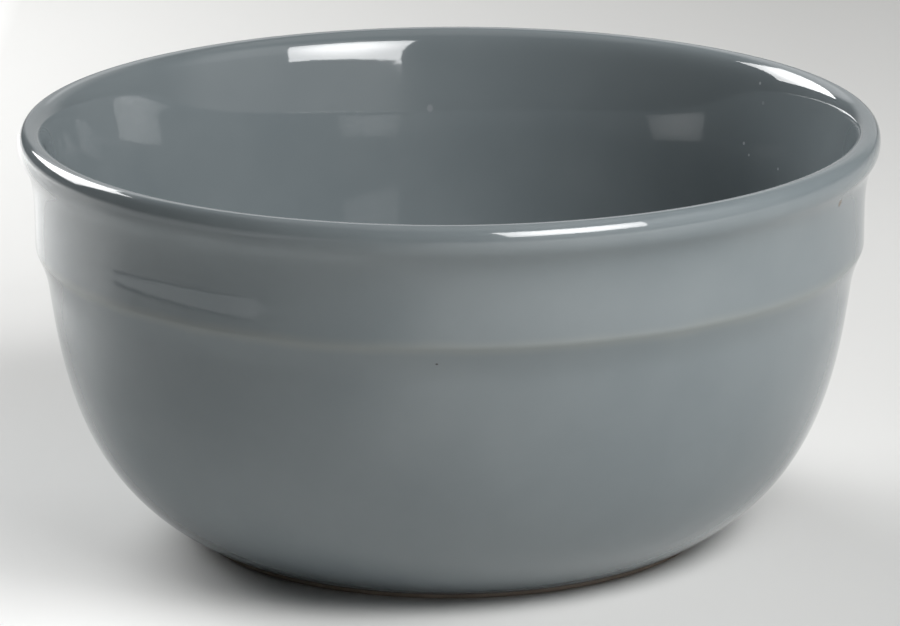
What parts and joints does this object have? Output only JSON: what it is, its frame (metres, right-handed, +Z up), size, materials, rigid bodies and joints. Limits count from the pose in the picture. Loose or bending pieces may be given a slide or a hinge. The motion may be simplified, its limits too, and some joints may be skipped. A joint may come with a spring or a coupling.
{
  "type": "bowl",
  "caption": "Deep round stoneware bowl with a rounded lip, a flared band with a ridge under the rim, a full belly and a low foot ring, glazed inside and out.",
  "frame": {"origin": "centre of the foot ring's rest plane", "axes": "+Z up, along the bowl's axis of turning; +Y away from the viewer of the picture and +X to their right"},
  "size_m": [0.158, 0.158, 0.0767],
  "materials": {
    "bare_stoneware": "unglazed, fine matt",
    "blue_grey_glaze": "gloss, breaking to tan on the ridge",
    "foot_well_glaze": "gloss"
  },
  "bodies": {
    "root": {"stoneware_body": "bare_stoneware", "inner_glaze": "blue_grey_glaze", "outer_glaze": "blue_grey_glaze", "foot_well_glaze": "foot_well_glaze"}
  },
  "joints": []
}
